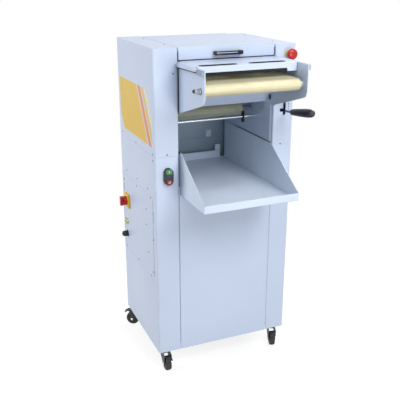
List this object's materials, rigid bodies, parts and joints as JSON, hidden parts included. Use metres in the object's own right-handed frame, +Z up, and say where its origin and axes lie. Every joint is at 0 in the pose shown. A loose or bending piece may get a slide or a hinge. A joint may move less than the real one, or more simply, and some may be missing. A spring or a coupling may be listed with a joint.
{
  "type": "bread moulder",
  "caption": "Sheet-steel dough moulder on casters: felt infeed belt under a slotted guard, geared sheeting rollers with a gap lever, moulding belt and a pull-out tray.",
  "frame": {"origin": "on the floor, under the centre of the bounding box at rest", "axes": "+Z up; the infeed and the tray face -Y; +X to the right as seen from the front"},
  "size_m": [0.6334, 0.7412, 1.3644],
  "materials": {
    "white_paint": "smooth white powder coat",
    "steel": "turned and ground steel",
    "chrome": "bright zinc or chrome plate",
    "felt": "cream wool felt",
    "black_plastic": "black moulded plastic",
    "black_rubber": "black rubber",
    "motor_enamel": "grey enamel on a cast body",
    "red_plastic": "glossy red moulded plastic",
    "yellow_plastic": "yellow moulded plastic",
    "green_plastic": "green moulded plastic",
    "brass": "plated brass, greenish yellow"
  },
  "bodies": {
    "cabinet": {"base_pan": "white_paint", "left_base_cover": "white_paint", "left_head_cover": "white_paint", "right_base_cover": "white_paint", "right_head_cover": "white_paint", "front_panel": "white_paint", "back_panel": "white_paint", "left_side_plate": "white_paint", "right_side_plate": "white_paint", "under_belt_panel": "white_paint", "tie_rod": "steel", "pressure_board": "steel", "infeed_belt": "felt", "moulding_belt": "felt", "drive_chain": "steel", "v_belt": "black_rubber", "motor": "motor_enamel", "button_housing": "black_plastic", "emergency_stop_collar": "yellow_plastic", "main_switch_plate": "yellow_plastic", "earth_terminal": "brass", "cable_gland": "black_plastic", "front_left_caster_plate": "chrome", "front_right_caster_plate": "chrome", "rear_left_caster_plate": "chrome", "rear_right_caster_plate": "chrome"},
    "lid": {"lid": "white_paint", "lid_handle": "black_plastic"},
    "guard": {"guard": "white_paint"},
    "tray": {"tray": "white_paint"},
    "lower_roller": {"lower_roller": "steel", "lower_gear": "steel", "driven_pulley": "steel"},
    "roller_cradle": {"roller_cradle": "steel", "gap_link": "steel"},
    "upper_roller": {"upper_roller": "steel", "upper_gear": "steel"},
    "infeed_front_roller": {"infeed_front_roller": "steel"},
    "infeed_drive_roller": {"infeed_drive_roller": "steel"},
    "moulding_front_roller": {"moulding_front_roller": "steel"},
    "moulding_rear_roller": {"moulding_rear_roller": "steel"},
    "motor_pulley": {"motor_pulley": "steel"},
    "gap_lever": {"gap_lever": "steel", "lever_grip": "black_plastic"},
    "start_button": {"start_button": "green_plastic"},
    "stop_button": {"stop_button": "red_plastic"},
    "emergency_stop": {"emergency_stop_mushroom": "red_plastic"},
    "main_switch": {"main_switch_knob": "red_plastic"},
    "front_left_caster": {"front_left_caster_fork": "black_plastic"},
    "front_left_wheel": {"front_left_caster_wheel": "black_rubber"},
    "front_left_brake": {"front_left_brake_pedal": "black_plastic"},
    "front_right_caster": {"front_right_caster_fork": "black_plastic"},
    "front_right_wheel": {"front_right_caster_wheel": "black_rubber"},
    "front_right_brake": {"front_right_brake_pedal": "black_plastic"},
    "rear_left_caster": {"rear_left_caster_fork": "black_plastic"},
    "rear_left_wheel": {"rear_left_caster_wheel": "black_rubber"},
    "rear_left_brake": {"rear_left_brake_pedal": "black_plastic"},
    "rear_right_caster": {"rear_right_caster_fork": "black_plastic"},
    "rear_right_wheel": {"rear_right_caster_wheel": "black_rubber"},
    "rear_right_brake": {"rear_right_brake_pedal": "black_plastic"}
  },
  "joints": [
    {"name": "lid_hinge", "type": "hinge", "parent": "cabinet", "child": "lid", "pos_m": [0.0227, 0.33604, 1.35699], "axis": [-1, 0, 0], "range_deg": [0, 95]},
    {"name": "guard_hinge", "type": "hinge", "parent": "cabinet", "child": "guard", "pos_m": [0.0227, -0.13556, 1.30639], "axis": [-1, 0, 0], "range_deg": [0, 30]},
    {"name": "tray_slide", "type": "slide", "parent": "cabinet", "child": "tray", "axis": [0, -1, 0], "range_m": [0, 0.3]},
    {"name": "lower_roller_spin", "type": "hinge", "parent": "cabinet", "child": "lower_roller", "pos_m": [0.0227, -0.01756, 1.21439], "axis": [1, 0, 0], "continuous": true},
    {"name": "gap_lever_turn", "type": "hinge", "parent": "cabinet", "child": "gap_lever", "pos_m": [0.2767, 0.03544, 1.0984], "axis": [-1, 0, 0], "range_deg": [-4.5, 7.5]},
    {"name": "cradle_slide", "type": "slide", "parent": "cabinet", "child": "roller_cradle", "axis": [0, 0, 1], "range_m": [-0.0035, 0.0055]},
    {"name": "upper_roller_spin", "type": "hinge", "parent": "roller_cradle", "child": "upper_roller", "pos_m": [0.0227, -0.00456, 1.2874], "axis": [1, 0, 0], "continuous": true},
    {"name": "infeed_front_roller_spin", "type": "hinge", "parent": "cabinet", "child": "infeed_front_roller", "pos_m": [0.0227, -0.33456, 1.2394], "axis": [1, 0, 0], "continuous": true},
    {"name": "infeed_drive_roller_spin", "type": "hinge", "parent": "cabinet", "child": "infeed_drive_roller", "pos_m": [0.0227, -0.07656, 1.2494], "axis": [1, 0, 0], "continuous": true},
    {"name": "moulding_front_roller_spin", "type": "hinge", "parent": "cabinet", "child": "moulding_front_roller", "pos_m": [0.0227, 0.06744, 1.0794], "axis": [1, 0, 0], "continuous": true},
    {"name": "moulding_rear_roller_spin", "type": "hinge", "parent": "cabinet", "child": "moulding_rear_roller", "pos_m": [0.0227, 0.22944, 1.0794], "axis": [1, 0, 0], "continuous": true},
    {"name": "motor_pulley_spin", "type": "hinge", "parent": "cabinet", "child": "motor_pulley", "pos_m": [-0.2093, 0.17744, 0.16679], "axis": [1, 0, 0], "continuous": true},
    {"name": "start_button_push", "type": "slide", "parent": "cabinet", "child": "start_button", "axis": [0, 1, 0], "range_m": [0, 0.003], "stiffness_N_per_m": 600},
    {"name": "stop_button_push", "type": "slide", "parent": "cabinet", "child": "stop_button", "axis": [0, 1, 0], "range_m": [0, 0.003], "stiffness_N_per_m": 600},
    {"name": "emergency_stop_push", "type": "slide", "parent": "cabinet", "child": "emergency_stop", "axis": [0, 1, 0], "range_m": [0, 0.005], "stiffness_N_per_m": 800},
    {"name": "main_switch_turn", "type": "hinge", "parent": "cabinet", "child": "main_switch", "pos_m": [-0.2953, 0.26244, 0.66139], "axis": [-1, 0, 0], "range_deg": [0, 90]},
    {"name": "front_left_swivel", "type": "hinge", "parent": "cabinet", "child": "front_left_caster", "pos_m": [-0.2413, -0.08456, 0.07939], "axis": [0, 0, 1], "continuous": true},
    {"name": "front_left_wheel_spin", "type": "hinge", "parent": "front_left_caster", "child": "front_left_wheel", "pos_m": [-0.2413, -0.10956, 0.03089], "axis": [1, 0, 0], "continuous": true},
    {"name": "front_left_brake_tilt", "type": "hinge", "parent": "front_left_caster", "child": "front_left_brake", "pos_m": [-0.2413, -0.11856, 0.07], "axis": [1, 0, 0], "range_deg": [0, 15]},
    {"name": "front_right_swivel", "type": "hinge", "parent": "cabinet", "child": "front_right_caster", "pos_m": [0.2787, -0.08456, 0.07939], "axis": [0, 0, 1], "continuous": true},
    {"name": "front_right_wheel_spin", "type": "hinge", "parent": "front_right_caster", "child": "front_right_wheel", "pos_m": [0.27098, -0.10833, 0.03089], "axis": [0.9511, -0.309, 0], "continuous": true},
    {"name": "front_right_brake_tilt", "type": "hinge", "parent": "front_right_caster", "child": "front_right_brake", "pos_m": [0.26819, -0.11689, 0.07], "axis": [0.9511, -0.309, 0], "range_deg": [0, 15]},
    {"name": "rear_left_swivel", "type": "hinge", "parent": "cabinet", "child": "rear_left_caster", "pos_m": [-0.2413, 0.30544, 0.07939], "axis": [0, 0, 1], "continuous": true},
    {"name": "rear_left_wheel_spin", "type": "hinge", "parent": "rear_left_caster", "child": "rear_left_wheel", "pos_m": [-0.26178, 0.31978, 0.03089], "axis": [-0.5736, -0.8192, 0], "continuous": true},
    {"name": "rear_left_brake_tilt", "type": "hinge", "parent": "rear_left_caster", "child": "rear_left_brake", "pos_m": [-0.26915, 0.32495, 0.07], "axis": [-0.5736, -0.8192, 0], "range_deg": [0, 15]},
    {"name": "rear_right_swivel", "type": "hinge", "parent": "cabinet", "child": "rear_right_caster", "pos_m": [0.2787, 0.30544, 0.07939], "axis": [0, 0, 1], "continuous": true},
    {"name": "rear_right_wheel_spin", "type": "hinge", "parent": "rear_right_caster", "child": "rear_right_wheel", "pos_m": [0.28304, 0.33006, 0.03089], "axis": [-0.9848, 0.1736, 0], "continuous": true},
    {"name": "rear_right_brake_tilt", "type": "hinge", "parent": "rear_right_caster", "child": "rear_right_brake", "pos_m": [0.2846, 0.33893, 0.07], "axis": [-0.9848, 0.1736, 0], "range_deg": [0, 15]}
  ],
  "couplings": [
    {"joint": "upper_roller_spin", "follows": "lower_roller_spin", "ratio": -1},
    {"joint": "infeed_front_roller_spin", "follows": "lower_roller_spin", "ratio": 1.5888},
    {"joint": "infeed_drive_roller_spin", "follows": "lower_roller_spin", "ratio": 1.5888},
    {"joint": "moulding_front_roller_spin", "follows": "lower_roller_spin", "ratio": 1.2409},
    {"joint": "moulding_rear_roller_spin", "follows": "lower_roller_spin", "ratio": 1.2409},
    {"joint": "motor_pulley_spin", "follows": "lower_roller_spin", "ratio": 2.2059},
    {"joint": "cradle_slide", "follows": "gap_lever_turn", "m_per_rad": 0.04}
  ]
}
